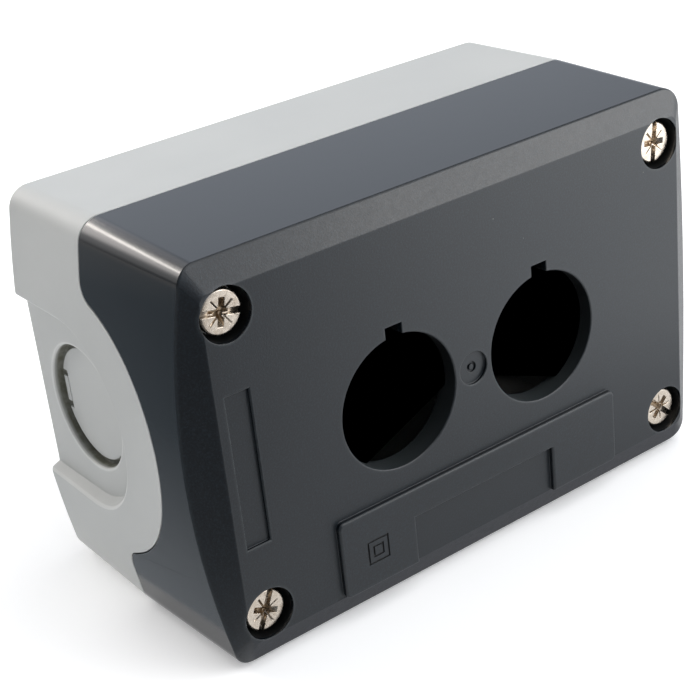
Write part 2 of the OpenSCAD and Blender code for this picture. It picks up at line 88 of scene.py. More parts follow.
# Area lights that look at a place in the object: direction, distance and size in metres, brightness, colour
LIT_PLACE = (0, -0.025, 0)
SOFTBOXES = {"overhead": ((0.25, -0.35, 1), 1.6, (1.9, 1.6), 2.2, (1, 1, 1)),
             "corner_strip": ((-0.22, 0.79, 0.562), 1.2, (0.9, 0.045), 15, (1.0, 0.95, 0.88))}

# Cards round the object, as make_card takes them, in millimetres. They lie a little above the floor, and the
# shade of their crest comes in from some height on.
CARD_GAP = 0.3
CREST_FROM = 6
CARDS = {
    "flag_front": {
        "near": ((-48, -75), (-55, -60), (-56, -54)),
        "foot": ((30, -200), (-60, -150), (-105, -75)), "top": 45,
        "axis": "Y", "light_at": -56, "dark_at": -95,
        "light": (0.5, 0.51, 0.53), "dark": (0.10, 0.106, 0.115), "crest": (0.10, 0.106, 0.115)},
    "card_right": {
        "near": ((5, -90), (60, -85), (125, -70)),
        "foot": ((15, -122), (70, -112), (150, -80)), "top": 75,
        "axis": "X", "light_at": 10, "dark_at": 80,
        "light": (1.2, 1.22, 1.25), "dark": (2.1, 2.15, 2.2), "crest": (8.2, 8.1, 8.0)},
    "flag_left": {
        "near": ((-53.5, -72), (-53, 0), (-50, 40), (-10, 80)),
        "foot": ((-106, -72), (-112, 0), (-85, 60), (-20, 110)), "top": 31,
        "axis": "X", "light_at": -62, "dark_at": -105,
        "light": (0.47, 0.51, 0.55), "dark": (0.23, 0.28, 0.32), "crest": (0.7, 0.69, 0.67)},
    "foot_card": {
        "near": ((-46, -48.5), (0, -48.5), (50, -48.5)),
        "foot": ((-46, -54), (0, -54), (56, -54)), "top": -33.6,
        "axis": "X", "light_at": -46, "dark_at": 50,
        "light": (0.5, 0.5, 0.53), "dark": (0.5, 0.5, 0.53), "crest": (0.5, 0.5, 0.53)}}

# The floor: half its width in metres, its tone, and how much it glows
FLOOR_REACH = 3
FLOOR_TONE = (0.92, 0.92, 0.92)
FLOOR_GLOW = 0.26

# Tones of the materials in linear light. Clouds or stains mix the two of a pair.
COVER_TONES = ((0.0036, 0.0056, 0.0080), (0.0048, 0.0070, 0.0098))
COVER_GRAIN = (0.010, 0.019, 0.027)
# Painted highlight: a paler tone on the crests of the cover's edges
COVER_EDGE_HIGHLIGHT = (0.085, 0.094, 0.098)
COVER_SPECKS = (0.16, 0.16, 0.15)
# Painted shade: a darker tone inside the cover, in its holes and counterbores and in the engraved sign
COVER_INSIDE_SHADE = (0.0022, 0.0026, 0.003)
# Painted shade on the button-hole walls: darker where they face down, paler where they face up
HOLE_WALL_SHADES = ((0.0035, 0.0045, 0.0055), (0.014, 0.0175, 0.019))
BASE_TONES = ((0.490, 0.497, 0.483), (0.520, 0.527, 0.513))
# Painted highlight: a paler tone on the base's edges, on the gland seats' lips and on the knock-outs' rims
BASE_HIGHLIGHT = (0.66, 0.665, 0.645)
BASE_SPECKS = (0.40, 0.40, 0.38)
# Painted shade: a darker tone deep in the groove round each knock-out's disc and in its notch
BASE_GROOVE_SHADE = (0.13, 0.13, 0.10)
RUBBER_TONES = ((0.012, 0.012, 0.013), (0.03, 0.03, 0.031))
NICKEL_TONES = ((0.60, 0.535, 0.46), (0.48, 0.41, 0.335))
# Brown tone deep in a screw's recess: part tarnish, part painted shade
NICKEL_TARNISH_AND_SHADE = (0.40, 0.31, 0.215)
BRASS_TONES = ((0.80, 0.58, 0.25), (0.60, 0.42, 0.18))
NYLON_TONES = ((0.72, 0.70, 0.62), (0.80, 0.78, 0.72))

# Sizes in millimetres that part.scad gives the parts
BODY_DEPTH, HALF_LENGTH, HALF_WIDTH, END_BOW = 51.5, 53, 34, 174
ENTRY_DEPTH, KNOCK_OUT_RADIUS, DISC_RADIUS = 36.8, 10.6, 9.65
HOLE_X, HOLE_RADIUS = 15, 11.15
SCREW_X, SCREW_Z = 43.395, 25
COUNTERBORE_RADIUS = 4.3
HEAD_SINK, HEAD_RADIUS, HEAD_HEIGHT = 1.3, 3.5, 2.6
SHANK_RADIUS, SCREW_LENGTH, PITCH = 1.95, 20, 0.7
WASHER_RADIUS, WASHER_BORE, WASHER_THICKNESS = 3.8, 2.1, 0.8
INSERT_TOP, INSERT_LENGTH, INSERT_RADIUS, INSERT_BORE, INSERT_GROOVE = 14.5, 8, 2.8, 2.05, 0.35
PANEL_DEPTH = -1.0

# Side of each screw, and how far its head is turned about +Y, in degrees
SCREWS = {"top_left": (-1, 1, 11), "top_right": (1, 1, -84),
          "bottom_left": (-1, -1, -67), "bottom_right": (1, -1, 42)}

# The double square on the raised panel: its centre across and up, half the size of its two squares, the width
# and depth of its lines, and half the size of the place that its material treats as part of it
SIGN_CENTRE = (-22.85, -22.8)
SIGN_HALVES = (2.1, 1.05)
SIGN_LINE, SIGN_DEPTH = 0.3, 0.22
SIGN_REACH = 2.8

# How wide edges are rounded, in millimetres
COVER_ROUNDING = {"sign": 0.04, "panel": 0.45, "button hole": 0.3, "counterbore": 0.08, "crease": 0.1,
                  "face": 0.12, "label recess": 0.3, "mark": 0.18, "bevel": 0.3, "rest": 0.12}
BASE_ROUNDING = {"knock-out": 0.3, "disc": 0.25, "rest": 0.14}
SEAL_ROUNDING = 0.3
RECESS_ROUNDING = 0.06

BODIES = {node: body for body, nodes in frame["record"]["behaviour"]["bodies"].items() for node in nodes}


# Objects and meshes

def add_object(name, data):
    made = bpy.data.objects.new(name, data)
    bpy.context.scene.collection.objects.link(made)
    return made


def solid(name, points, faces):
    mesh = bpy.data.meshes.new(name)
    mesh.from_pydata(points, [], faces)
    return mesh


def square(centre, half):
    corners = ((-1, -1), (1, -1), (1, 1), (-1, 1))
    return [(centre[0] + across * half, centre[1] + up * half) for across, up in corners]


# Nodes

class Nodes:
    """Short calls for the node tree of a material or of the world."""

    def __init__(self, owner, shader="Principled BSDF"):
        owner.use_nodes = True
        self.owner = owner
        self.tree = owner.node_tree
        self.shader = self.tree.nodes[shader]

    def add(self, kind, values=None, **settings):
        node = self.tree.nodes.new(kind)
        for key, value in settings.items():
            setattr(node, key, value)
        for key, value in (values or {}).items():
            self.put(node.inputs[key], value)
        return node

    def put(self, socket, value):
        if isinstance(value, bpy.types.NodeSocket):
            self.tree.links.new(value, socket)
        elif socket.type == "RGBA":
            socket.default_value = (*value, 1)
        else:
            socket.default_value = value

    def set(self, **values):
        for key, value in values.items():
            self.put(self.shader.inputs[key.replace("_", " ")], value)

    def maths(self, operation, first, *others):
        """An operation on one value, or on it and each of the others in turn."""
        for other in others or (0.0,):
            first = self.add("ShaderNodeMath", {0: first, 1: other}, operation=operation).outputs[0]
        return first

    def plus(self, *values):
        return self.maths("ADD", *values)

    def times(self, *values):
        return self.maths("MULTIPLY", *values)

    def largest(self, *values):
        return self.maths("MAXIMUM", *values)

    def absolute(self, value):
        return self.maths("ABSOLUTE", value)

    def distance(self, a, b):
        return self.maths("SQRT", self.plus(self.times(a, a), self.times(b, b)))

    def remap(self, value, low, high, to_low=0.0, to_high=1.0, kind="LINEAR"):
        values = {0: value, 1: low, 2: high, 3: to_low, 4: to_high}
        return self.add("ShaderNodeMapRange", values, interpolation_type=kind).outputs[0]

    def mix(self, share, a, b):
        return self.add("ShaderNodeMix", {0: share, 6: a, 7: b}, data_type="RGBA").outputs[2]

    def vector(self, operation, a, b):
        return self.add("ShaderNodeVectorMath", {0: a, 1: b}, operation=operation).outputs

    def place(self):
        return self.add("ShaderNodeTexCoord").outputs["Object"]

    def normal(self):
        return self.add("ShaderNodeNewGeometry").outputs["Normal"]

    def split(self, vector):
        return self.add("ShaderNodeSeparateXYZ", {0: vector}).outputs

    def noise(self, scale, detail=2.0, roughness=0.5):
        values = {"Vector": self.place(), "Scale": scale, "Detail": detail, "Roughness": roughness}
        return self.add("ShaderNodeTexNoise", values).outputs["Fac"]

    def specks(self, scale, radius, share):
        """Scattered round dots: one in some of the cells of a grid."""
        cell = self.add("ShaderNodeTexVoronoi", {"Vector": self.place(), "Scale": scale})
        dot = self.remap(cell.outputs["Distance"], radius, radius * 0.4)
        chosen = self.add("ShaderNodeSeparateColor", {0: cell.outputs["Color"]}).outputs[0]
        return self.times(dot, self.maths("LESS_THAN", chosen, share))

    def facing(self, axis, low, high):
        """One where the surface faces along an axis by at least high, nil by less than low."""
        return self.remap(self.split(self.normal())[axis], low, high)

    # Calls from here on take their sizes in millimetres

    def bump(self, height, distance, strength, normal=None):
        values = {"Height": height, "Distance": distance * MM, "Strength": strength}
        if normal is not None:
            values["Normal"] = normal
        return self.add("ShaderNodeBump", values).outputs[0]

    def edges(self, radius):
        """Share of rounding: nil on flats, one on the crest of an edge."""
        soft = self.add("ShaderNodeBevel", {"Radius": radius * MM}, samples=4).outputs[0]
        cosine_on_flats, cosine_on_crest = 0.995, 0.86
        cosine = self.vector("DOT_PRODUCT", soft, self.normal())["Value"]
        return self.remap(cosine, cosine_on_flats, cosine_on_crest)

    def below(self, value, limit):
        return self.maths("LESS_THAN", value, limit * MM)

    def above(self, value, limit):
        return self.maths("GREATER_THAN", value, limit * MM)

    def apart(self, value, other):
        """How far a value is from another one."""
        return self.absolute(self.maths("SUBTRACT", value, other * MM))

    def ramp(self, value, nil_at, one_at):
        """Nil at one size, one at another, and even in between."""
        return self.remap(value, nil_at * MM, one_at * MM)

    def deep(self, y, nil_at, one_at):
        """Ramp between two depths behind the front face."""
        return self.ramp(y, nil_at - BODY_DEPTH, one_at - BODY_DEPTH)


# Camera and light

def make_camera():
    data = bpy.data.cameras.new("camera")
    data.sensor_width = SENSOR_MM
    data.lens = FOCAL_PIXELS * SENSOR_MM / IMAGE_WIDTH
    data.shift_x = (IMAGE_WIDTH / 2 - CENTRE_PIXEL[0]) / IMAGE_WIDTH
    data.shift_y = (CENTRE_PIXEL[1] - IMAGE_WIDTH / 2) / IMAGE_WIDTH
    data.clip_start = 0.01
    camera = add_object("camera", data)
    right = Vector(CAMERA_RIGHT).normalized()
    up = -Vector(CAMERA_DOWN).normalized()
    back = right.cross(up).normalized()
    up = back.cross(right)
    turn = Matrix((right, up, back)).transposed().to_4x4()
    camera.matrix_world = Matrix.Translation(CAMERA_PLACE) @ turn
    bpy.context.scene.camera = camera


def make_softbox(name, direction, distance, size, radiance, colour):
    """Rectangular light with a given brightness of its surface."""
    middle = Vector(LIT_PLACE)
    place = middle + Vector(direction).normalized() * distance
    data = bpy.data.lights.new(name, "AREA")
    data.shape = "RECTANGLE"
    data.size, data.size_y = size
    data.energy = radiance * math.pi * size[0] * size[1]
    data.color = colour
    light = add_object(name, data)
    light.location = place
    light.rotation_euler = (middle - place).to_track_quat("-Z", "Y").to_euler()


def make_studio():
    """A pale wall up to about 30 degrees, dimmer at both sides, under a dim ceiling, with soft glows."""
    world = bpy.data.worlds.new("studio")
    bpy.context.scene.world = world
    n = Nodes(world, "Background")
    aim = n.add("ShaderNodeTexCoord").outputs["Generated"]
    across, up = (n.split(aim)[axis] for axis in "XZ")

    def scaled(colour, share):
        return n.add("ShaderNodeVectorMath", {0: colour, "Scale": share}, operation="SCALE").outputs[0]

    wall = scaled(WALL_TONE, n.remap(up, *CEILING_SPAN, 1, 0))
    for span in WALL_DIMMING:
        wall = scaled(wall, n.remap(across, *span))
    light = n.vector("ADD", wall, scaled(CEILING_TONE, n.remap(up, *CEILING_SPAN)))[0]
    for direction, core, reach, colour in GLOWS:
        cosine = n.vector("DOT_PRODUCT", aim, Vector(direction).normalized())["Value"]
        near, far = (math.cos(math.radians(angle)) for angle in (core, reach))
        share = n.remap(cosine, far, near, kind="SMOOTHSTEP")
        light = n.vector("ADD", light, scaled(colour, share))[0]
    n.set(Color=light)
    bpy.context.scene.view_settings.view_transform = "Standard"


def make_card(name, near, foot, top, axis, light_at, dark_at, light, dark, crest):
    """A card, or flag, that only reflections see, as photographers use to keep a side dark or to light it.

    It lies on the floor from its near row of points to its foot, and stands up there to its top. Its shade
    goes from light to dark between two places on an axis, and towards its crest to a shade of its own.
    """
    floor = cad_box[0].z + CARD_GAP * MM
    rows = ((near, floor), (foot, floor), (foot, top * MM))
    points = [(x * MM, y * MM, z) for row, z in rows for x, y in row]
    n = len(foot)
    starts = [k * n + i for k in range(2) for i in range(n - 1)]
    flag = add_object(name, solid(name, points, [(i, i + 1, n + i + 1, n + i) for i in starts]))
    m = Nodes(bpy.data.materials.new(name))
    place = m.split(m.place())
    shade = m.mix(m.ramp(place[axis], dark_at, light_at), dark, light)
    shade = m.mix(m.ramp(place["Z"], CREST_FROM, top), shade, crest)
    m.set(Base_Color=(0.02, 0.02, 0.02), Roughness=0.9, Emission_Color=shade, Emission_Strength=1.0)
    flag.data.materials.append(m.owner)
    for rays in ("camera", "diffuse", "shadow", "transmission"):
        setattr(flag, "visible_" + rays, False)


def make_floor():
    points = [(x, y, cad_box[0].z) for x, y in square((0, 0), FLOOR_REACH)]
    floor = add_object("floor", solid("floor", points, [(0, 1, 2, 3)]))
    n = Nodes(bpy.data.materials.new("pale_floor"))
    n.set(Base_Color=FLOOR_TONE, Roughness=0.9, Specular_IOR_Level=0.0,
          Emission_Color=(1, 1, 1), Emission_Strength=FLOOR_GLOW)
    floor.data.materials.append(n.owner)


# Places on the mouldings, each as a share that their materials use

def in_holes(n):
    """Where the cover's painted shade goes: one inside it and in its holes and counterbores, nil on its
    outside.
    """
    room_across, room_up = 45, 28.5
    x, y, z = n.split(n.place())
    across, up = n.absolute(x), n.absolute(z)
    middle = n.times(n.below(across, room_across), n.below(up, room_up), n.deep(y, 1.0, 1.3))
    from_screw = n.distance(n.apart(across, SCREW_X), n.apart(up, SCREW_Z))
    within = n.largest(middle, n.below(from_screw, COUNTERBORE_RADIUS + 0.02))
    return n.times(within, n.deep(y, 0.35, 0.9))


def button_wall(n):
    """One on the walls of the two button holes, which get a painted shade."""
    wall_end = 4.0
    x, y, z = n.split(n.place())
    r = n.distance(n.apart(n.absolute(x), HOLE_X), z)
    ring = n.times(n.above(r, HOLE_RADIUS - 0.1), n.below(r, HOLE_RADIUS + 0.12))
    return n.times(ring, n.below(y, wall_end - BODY_DEPTH), n.deep(y, 0.15, 0.4))


def round_sign(n, x, z):
    """One in the square that holds the engraved sign, at any depth."""
    return n.times(*(n.below(n.apart(*pair), SIGN_REACH) for pair in zip((x, z), SIGN_CENTRE)))


def edge_highlight_places(n):
    """Painted edge highlight's place: nil in the creases round the raised panel and in recesses, one
    elsewhere.
    """
    panel_across, panel_top = 31, -14.5
    face_across, recess_depth = 46, 0.3
    x, y, z = n.split(n.place())
    across = n.absolute(x)
    panel_foot = n.above(y, PANEL_DEPTH / 2 - BODY_DEPTH)
    panel = n.times(n.below(across, panel_across), n.below(z, panel_top), panel_foot)
    recess = n.times(n.below(across, face_across), n.above(y, recess_depth - BODY_DEPTH))
    return n.maths("SUBTRACT", 1, n.largest(panel, recess, round_sign(n, x, z)))


def sign_floor(n):
    """One on the floor and the walls of the engraved double square, where the cover's shade is painted."""
    x, y, z = n.split(n.place())
    return n.times(round_sign(n, x, z), n.deep(y, PANEL_DEPTH + 0.03, PANEL_DEPTH + 0.12))


def from_entry(n, y, z):
    """Distance from the line through the middles of the two knock-outs."""
    return n.distance(n.plus(y, (BODY_DEPTH - ENTRY_DEPTH) * MM), z)


def knock_out_shade(n):
    """Painted shade in the groove round a knock-out's disc and in the disc's prying notch, growing with
    depth.
    """
    groove_mouth, groove_floor = 49.6, 48.9
    notch_mouth, notch_floor, back_of_disc = 48.4, 47.9, 47.05
    x, y, z = n.split(n.place())
    out, r = n.absolute(x), from_entry(n, y, z)
    off_disc = n.ramp(r, DISC_RADIUS - 0.2, DISC_RADIUS + 0.05)
    groove = n.times(n.ramp(out, groove_mouth, groove_floor), off_disc)
    notch = n.ramp(out, notch_mouth, notch_floor)
    outside = n.times(n.above(out, back_of_disc), n.below(r, KNOCK_OUT_RADIUS + 0.05))
    return n.times(n.largest(groove, notch), outside, n.remap(n.noise(700, 2), 0.3, 0.6, 0.75, 1.0))


def seat_lip_highlight(n):
    """Share of painted highlight on the rounded lip of a gland seat and on the knock-out's rim."""
    lip_up, lip_out, rim_out = 17.8, 51, 49.5
    rim_from, rim_full, rim_fades, rim_end = 10.4, 10.55, 10.85, 11.15
    x, y, z = n.split(n.place())
    out, r = n.absolute(x), from_entry(n, y, z)
    side = n.absolute(n.split(n.normal())["X"])
    turn = n.times(n.remap(side, 0.45, 0.62), n.remap(side, 0.97, 0.92))
    lip = n.times(turn, n.times(n.below(n.absolute(z), lip_up), n.above(out, lip_out)))
    rim = n.times(n.ramp(r, rim_from, rim_full), n.ramp(r, rim_end, rim_fades), n.above(out, rim_out))
    return n.times(n.largest(lip, rim), 0.8)


def edge_highlight_share(n, least):
    """Share of painted highlight on the crests of edges, which is uneven along them."""
    return n.times(n.edges(0.4), n.remap(n.noise(900, 3), 0.4, 0.75, least, 0.8))


# Materials

def cover_plastic():
    """Dark blue-grey polycarbonate: spark-eroded grain on the front, polished sides, clouds and specks."""
    n = Nodes(bpy.data.materials.new("cover_moulding"))
    front = n.facing("Y", -0.08, -0.3)
    clouds = n.noise(40, 3)
    grain = n.noise(3300, 3, 0.65)
    tone = n.mix(n.remap(clouds, 0.35, 0.65), *COVER_TONES)
    tone = n.mix(n.times(front, n.remap(grain, 0.47, 0.70, 0, 0.7)), tone, COVER_GRAIN)
    # Painted highlight: a paler tone on the crests of edges, broader on the front, kept out of creases and
    # recesses
    edge_highlight = n.largest(edge_highlight_share(n, 0.25), n.times(n.edges(0.9), front, 0.16))
    tone = n.mix(n.times(edge_highlight, edge_highlight_places(n)), tone, COVER_EDGE_HIGHLIGHT)
    tone = n.mix(n.specks(330, 0.045, 0.035), tone, COVER_SPECKS)
    mottle = n.times(front, n.remap(n.noise(1100, 4, 0.7), 0.35, 0.7, -0.035, 0.035))
    uneven = n.plus(mottle, n.remap(clouds, 0.3, 0.7, -0.02, 0.02))
    finish = n.plus(n.remap(front, 0, 1, 0.12, 0.39), uneven)

    # Painted shade: a darker tone inside the cover, in its holes, counterbores and engraved sign
    wall = button_wall(n)
    inside = n.largest(in_holes(n), wall, sign_floor(n))
    # Painted shade on the button-hole walls, paler where they face up and darker where they face down
    wall_shade = n.mix(n.facing("Z", -0.4, 0.9), *HOLE_WALL_SHADES)
    tone = n.mix(inside, tone, n.mix(wall, COVER_INSIDE_SHADE, wall_shade))
    inside_finish = n.remap(wall, 0, 1, 0.42, 0.5)
    finish = n.plus(n.times(finish, n.remap(inside, 0, 1, 1, 0)), n.times(inside, inside_finish))

    ripple = n.bump(n.noise(260, 2), 0.05, 0.1)
    pitted = n.bump(grain, 0.03, n.remap(front, 0, 1, 0.03, 0.7), ripple)
    n.set(Base_Color=tone, Roughness=finish, Normal=pitted, IOR=1.5, Specular_IOR_Level=0.4)
    return n.owner


def base_plastic():
    """Light grey polycarbonate: fine even grain, specks, painted highlights, painted shade in knock-out
    grooves.
    """
    n = Nodes(bpy.data.materials.new("base_moulding"))
    clouds = n.noise(45, 3)
    tone = n.mix(n.remap(clouds, 0.35, 0.65), *BASE_TONES)
    # Painted highlight on the edges, the gland seats' lips and the knock-outs' rims
    tone = n.mix(n.largest(edge_highlight_share(n, 0.2), seat_lip_highlight(n)), tone, BASE_HIGHLIGHT)
    tone = n.mix(n.specks(260, 0.04, 0.03), tone, BASE_SPECKS)
    # Painted shade deep in the knock-outs' grooves and notches
    tone = n.mix(knock_out_shade(n), tone, BASE_GROOVE_SHADE)
    n.set(Base_Color=tone, Roughness=n.remap(clouds, 0.3, 0.7, 0.38, 0.46),
          Normal=n.bump(n.noise(4200, 2), 0.03, 0.4), IOR=1.5, Specular_IOR_Level=0.3)
    return n.owner


def rubber():
    n = Nodes(bpy.data.materials.new("seal_rubber"))
    n.set(Base_Color=n.mix(n.noise(700, 3), *RUBBER_TONES),
          Roughness=n.remap(n.noise(400, 2), 0.3, 0.7, 0.6, 0.8), Normal=n.bump(n.noise(4000, 2), 0.02, 0.4))
    return n.owner


def metal(name, tones, tarnish_and_shade=None):
    """Plated or turned metal with faint stains; a screw's recess is darker brown, part tarnish, part painted
    shade.
    """
    n = Nodes(bpy.data.materials.new(name))
    tone = n.mix(n.remap(n.noise(1500, 3), 0.42, 0.75), *tones)
    finish = n.remap(n.noise(3000, 2), 0.3, 0.7, 0.2, 0.325)
    if tarnish_and_shade:
        # A darker brown deep in the recess: part tarnish, part painted shade
        darkening_from, darkening_full, recess_end = HEAD_SINK + 0.85, HEAD_SINK + 1.15, HEAD_SINK + 1.75
        y = n.split(n.place())["Y"]
        sunk = n.times(n.deep(y, darkening_from, darkening_full), n.below(y, recess_end - BODY_DEPTH))
        tone = n.mix(n.times(sunk, n.remap(n.noise(900, 2), 0.3, 0.6, 0.6, 1.0)), tone, tarnish_and_shade)
        finish = n.plus(finish, n.times(sunk, 0.25))
    n.set(Base_Color=tone, Metallic=1.0, Roughness=finish, Normal=n.bump(n.noise(5000, 2), 0.01, 0.35))
    return n.owner


def nylon():
    n = Nodes(bpy.data.materials.new("washer_nylon"))
    n.set(Base_Color=n.mix(n.noise(600, 2), *NYLON_TONES),
          Roughness=n.remap(n.noise(900, 2), 0.3, 0.7, 0.4, 0.55), Subsurface_Weight=0.1,
          Subsurface_Scale=0.5 * MM)
    return n.owner


# Shapes, in millimetres

def cad_mesh(node):
    """A CAD part's surface, with its coplanar triangles joined."""
    bm = bmesh.new()
    bm.from_mesh(frame["nodes"][node].data)
    bmesh.ops.scale(bm, vec=(1 / MM,) * 3, verts=bm.verts)
    bmesh.ops.remove_doubles(bm, verts=bm.verts, dist=0.002)
    bmesh.ops.dissolve_limit(bm, angle_limit=0.01, verts=bm.verts, edges=bm.edges)
    bm.verts.index_update()
    mesh = solid(node, [v.co[:] for v in bm.verts], [[v.index for v in f.verts] for f in bm.faces])
    bm.free()
    return mesh


def outward(mesh):
    """The mesh with all its faces turned outward."""
    bm = bmesh.new()
    bm.from_mesh(mesh)
    bmesh.ops.recalc_face_normals(bm, faces=bm.faces)
    bm.to_mesh(mesh)
    bm.free()
    return mesh


def baked(mesh, *modifiers):
    """The mesh after some modifiers, each a kind with its settings."""
    work = add_object("work", mesh)
    for kind, settings in modifiers:
        modifier = work.modifiers.new(kind, kind)
        for key, value in settings.items():
            setattr(modifier, key, value)
    result = bpy.data.meshes.new_from_object(work.evaluated_get(bpy.context.evaluated_depsgraph_get()))
    bpy.data.objects.remove(work)
    return result


def cut(mesh, *cutters):
    for cutter in cutters:
        tool = add_object("tool", cutter)
        mesh = baked(mesh, ("BOOLEAN", {"operation": "DIFFERENCE", "solver": "EXACT", "object": tool}))
        bpy.data.objects.remove(tool)
    return mesh


def rounded(mesh, width_of, sharp=22, segments=4):
    """Rounds the edges sharper than some degrees, each by the width that width_of gives its place."""
    bm = bmesh.new()
    bm.from_mesh(mesh)
    weight = bm.edges.layers.float.new("bevel_weight_edge")
    for edge in bm.edges:
        if edge.calc_face_angle(0) > math.radians(sharp):
            middle = (edge.verts[0].co + edge.verts[1].co) / 2
            edge[weight] = width_of(middle.x, middle.y + BODY_DEPTH, middle.z, edge.is_convex)
    bm.to_mesh(mesh)
    bm.free()
    mesh.shade_smooth()
    bevel = {"width": 1, "segments": segments, "limit_method": "WEIGHT", "use_clamp_overlap": False}
    return baked(mesh, ("BEVEL", bevel), ("WEIGHTED_NORMAL", {"mode": "FACE_AREA", "weight": 50}))


def prism(outline, near, far, taper=1.0):
    """Prism along Y of points in (X, Z), from one depth to another, where it may be smaller."""
    n = len(outline)
    points = [(x, near, z) for x, z in outline] + [(x * taper, far, z * taper) for x, z in outline]
    faces = [list(range(n)), list(range(2 * n - 1, n - 1, -1))]
    faces += [[(i + 1) % n, i, n + i, n + (i + 1) % n] for i in range(n)]
    return outward(solid("prism", points, faces))


def turned(profile, steps, closed=False, relief=None):
    """Solid of revolution about Y from (radius, depth) points, which ends on the axis or is a closed ring.

    Where there is a relief, it gives the radius at a point from its radius, depth and angle.
    """
    points, rings = [], []
    for radius, depth in profile:
        if radius == 0:
            rings.append([len(points)] * steps)
            points.append((0, depth, 0))
            continue
        rings.append(list(range(len(points), len(points) + steps)))
        for i in range(steps):
            a = 2 * math.pi * i / steps
            r = relief(radius, depth, a) if relief else radius
            points.append((r * math.cos(a), depth, r * math.sin(a)))
    faces = []
    pairs = list(zip(rings, rings[1:])) + ([(rings[-1], rings[0])] if closed else [])
    for a, b in pairs:
        for i in range(steps):
            k = (i + 1) % steps
            corners = [a[i], a[k], b[k], b[i]]
            faces.append([c for j, c in enumerate(corners) if c not in corners[:j]])
    return outward(solid("turned", points, faces))


def thread(depth, angle):
    """How far a right-hand thread stands out at a place: nil in the root, one on the crest."""
    slope, root = 3, 0.25
    turn = (depth / PITCH + angle / (2 * math.pi)) % 1
    return min(max((0.5 - abs(turn - 0.5)) * slope - root, 0), 1)


def sign_cutters():
    """Two thin engraved squares, one inside the other, each a frame of four bars."""
    panel = PANEL_DEPTH - BODY_DEPTH
    cutters = []
    for half in SIGN_HALVES:
        outer = prism(square(SIGN_CENTRE, half), panel - 1, panel + SIGN_DEPTH)
        inner = prism(square(SIGN_CENTRE, half - SIGN_LINE), panel - 2, panel + 1)
        cutters.append(cut(outer, inner))
    return cutters


def cover_edge(x, depth, z, convex):
    """Which kind of edge of the cover a place is on, so that one width goes all along each chain of edges."""
    across, up = abs(x), abs(z)
    if depth < PANEL_DEPTH / 2:
        off_sign = max(abs(x - SIGN_CENTRE[0]), abs(z - SIGN_CENTRE[1]))
        return "sign" if off_sign < SIGN_HALVES[0] + SIGN_LINE else "panel"
    hole_slack, hole_depth = 0.2, 1
    off_hole = abs(math.hypot(across - HOLE_X, z) - HOLE_RADIUS)
    if off_hole < hole_slack and depth < hole_depth:
        return "button hole"
    bore_slack, bore_depth = 0.25, 3
    off_bore = abs(math.hypot(across - SCREW_X, up - SCREW_Z) - COUNTERBORE_RADIUS)
    if off_bore < bore_slack and depth < bore_depth:
        return "counterbore"
    face_slack = 0.05
    if abs(depth) < face_slack:
        face_across, face_up = 46.8, 28.6
        panel_foot_across, label_x = 42, -34
        if not convex or (z < -face_up and across < panel_foot_across):
            return "crease"
        if across > face_across or up > face_up:
            return "face"
        return "label recess" if x < label_x else "mark"
    bevel_reach, bevel_depth = 2.3, 3.6
    from_end = math.sqrt(END_BOW ** 2 - z * z) - (END_BOW - HALF_LENGTH) - across
    if min(from_end, HALF_WIDTH - up) < bevel_reach and depth < bevel_depth:
        return "bevel"
    return "rest"


def cover_width(*place):
    return COVER_ROUNDING[cover_edge(*place)]


def base_width(x, depth, z, convex):
    """Rounding of the base's edges: softer round the knock-outs and their discs."""
    ends_from, slack = 47, 0.25
    if abs(x) > ends_from:
        r = math.hypot(depth - ENTRY_DEPTH, z)
        for kind, radius in (("knock-out", KNOCK_OUT_RADIUS), ("disc", DISC_RADIUS)):
            if abs(r - radius) < slack:
                return BASE_ROUNDING[kind]
    return BASE_ROUNDING["rest"]


def screw_blank():
    """The screw before its head is worked: a rounded head, a plain neck and a rolled thread."""
    crown, crown_depth, flat, edge = 0.4, 0.6, 2.6, 0.15
    relief, relief_end, neck_from = 0.1, HEAD_HEIGHT + 1.2, HEAD_HEIGHT + 1.8
    neck, root, point, point_height = 1.5, 1.58, 1.2, 1
    thread_from, tip = HEAD_HEIGHT + 4.6, HEAD_HEIGHT + SCREW_LENGTH
    rings_a_turn, run_out = 8, 0.6
    profile = [(0, 0), (flat, 0)]
    for angle in (math.radians(degrees) for degrees in (8, 22, 38, 54, 70, 84)):
        profile.append((HEAD_RADIUS - crown + crown * math.sin(angle), crown - crown * math.cos(angle)))
    profile += [(HEAD_RADIUS, crown_depth), (HEAD_RADIUS, HEAD_HEIGHT - edge),
                (HEAD_RADIUS - edge, HEAD_HEIGHT), (SHANK_RADIUS, HEAD_HEIGHT),
                (SHANK_RADIUS - relief, HEAD_HEIGHT + relief),
                (SHANK_RADIUS - relief, relief_end), (neck, neck_from), (neck, thread_from)]
    rows = round((tip - point_height - thread_from) / PITCH * rings_a_turn)
    profile += [(SHANK_RADIUS, thread_from + (k + 1) * PITCH / rings_a_turn) for k in range(rows)]
    profile += [(point, tip), (0, tip)]

    def rolled(radius, depth, angle):
        if radius != SHANK_RADIUS or depth <= HEAD_HEIGHT:
            return radius
        fade = min(1, (depth - thread_from) / PITCH, (tip - run_out - depth) / PITCH)
        return root + (SHANK_RADIUS - root) * thread(depth, angle) * max(fade, 0)

    return turned(profile, steps=48, relief=rolled)


